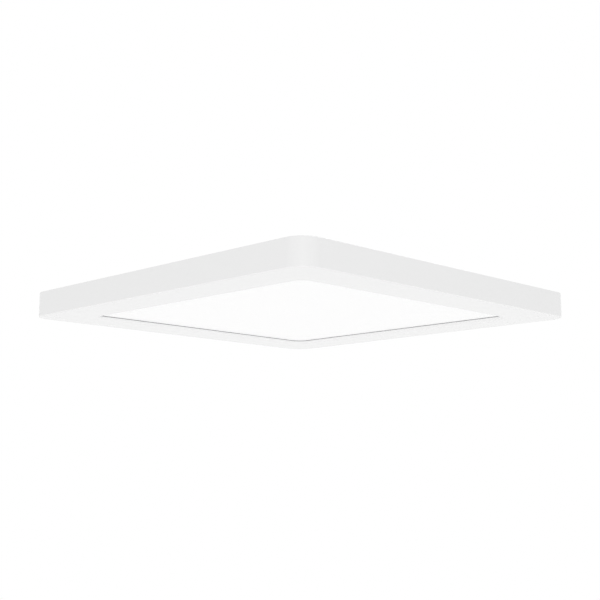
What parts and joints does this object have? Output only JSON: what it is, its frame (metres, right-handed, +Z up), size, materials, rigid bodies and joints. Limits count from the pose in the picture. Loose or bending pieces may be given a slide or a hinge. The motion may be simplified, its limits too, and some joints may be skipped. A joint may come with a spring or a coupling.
{
  "type": "flush mount ceiling light",
  "caption": "Thin square ceiling light lit from its edges: white frame, opal diffuser, and a round mounting plate that it twists onto.",
  "frame": {"origin": "centre of the ceiling face, which is the upper face of the mounting plate", "axes": "+Z up into the ceiling; +Y towards the driver; the light hangs below z = 0"},
  "size_m": [0.305, 0.305, 0.0195],
  "materials": {
    "white_shell": "white fine-textured moulding",
    "opal_diffuser": "opal acrylic, softly lit",
    "clear_acrylic": "clear acrylic light guide",
    "white_film": "white reflector film",
    "grey_foam": "closed-cell foam",
    "galvanised_steel": "galvanised sheet steel",
    "white_steel": "white powder-coated sheet steel",
    "zinc_screw": "zinc-plated steel",
    "light_bar": "aluminium strip with a white coat",
    "led_chip": "phosphor yellow over white",
    "black_plastic": "black moulded plastic",
    "green_board": "green coated board",
    "ferrite": "dark grey ferrite with a yellow tape winding",
    "capacitor_sleeve": "dark sleeve",
    "fuse_glass": "glass tube with metal caps",
    "terminal_plastic": "light grey moulded plastic",
    "lever_plastic": "off-white moulded plastic",
    "connector_plastic": "natural nylon",
    "copper_tin": "tinned copper",
    "ground_green": "green-coated screw",
    "lead_black": "black insulation",
    "lead_white": "white insulation",
    "lead_green": "green insulation",
    "lead_red": "red insulation",
    "lead_yellow": "yellow insulation"
  },
  "bodies": {
    "ceiling_mount": {"mounting_plate": "galvanised_steel", "twist_studs": "zinc_screw", "ground_screw": "ground_green"},
    "light": {"trim_frame": "white_shell", "diffuser_gasket": "grey_foam", "diffuser": "opal_diffuser", "light_guide": "clear_acrylic", "reflector_sheet": "white_film", "backing_foam": "grey_foam", "led_bar_front": "light_bar", "led_bar_back": "light_bar", "led_bar_left": "light_bar", "led_bar_right": "light_bar", "led_chips": "led_chip", "bar_jumpers": "lead_white", "bar_connector": "connector_plastic", "chassis_plate": "galvanised_steel", "chassis_screws": "zinc_screw", "back_cover": "white_steel", "cover_screws": "zinc_screw", "ceiling_gasket": "grey_foam", "driver_housing": "black_plastic", "driver_lid": "black_plastic", "driver_screws": "zinc_screw", "driver_board": "green_board", "transformer": "ferrite", "bulk_capacitor": "capacitor_sleeve", "output_capacitors": "capacitor_sleeve", "input_choke": "ferrite", "fuse": "fuse_glass", "tone_switch_body": "black_plastic", "terminal_pad": "grey_foam", "terminal_block": "terminal_plastic", "earth_ring": "copper_tin", "earth_screw": "zinc_screw", "lead_line": "lead_black", "lead_neutral": "lead_white", "lead_earth": "lead_green", "led_lead_warm": "lead_yellow", "led_lead_common": "lead_red", "led_lead_cool": "lead_white", "lead_grommet": "black_plastic", "lead_clip": "connector_plastic"},
    "slider": {"tone_slider": "lever_plastic"},
    "lever_earth": {"wire_lever_earth": "lever_plastic"},
    "lever_neutral": {"wire_lever_neutral": "lever_plastic"},
    "lever_line": {"wire_lever_line": "lever_plastic"}
  },
  "joints": [
    {"name": "twist_lock", "type": "hinge", "parent": "ceiling_mount", "child": "light", "pos_m": [0, 0, 0], "axis": [0, 0, 1], "range_deg": [-15, 0]},
    {"name": "tone_slide", "type": "slide", "parent": "light", "child": "slider", "axis": [1, 0, 0], "range_m": [-0.002, 0.002]},
    {"name": "lever_earth_open", "type": "hinge", "parent": "light", "child": "lever_earth", "pos_m": [-0.0062, -0.0046, -0.0055], "axis": [1, 0, 0], "range_deg": [0, 85]},
    {"name": "lever_neutral_open", "type": "hinge", "parent": "light", "child": "lever_neutral", "pos_m": [0, -0.0046, -0.0055], "axis": [1, 0, 0], "range_deg": [0, 85]},
    {"name": "lever_line_open", "type": "hinge", "parent": "light", "child": "lever_line", "pos_m": [0.0062, -0.0046, -0.0055], "axis": [1, 0, 0], "range_deg": [0, 85]}
  ]
}
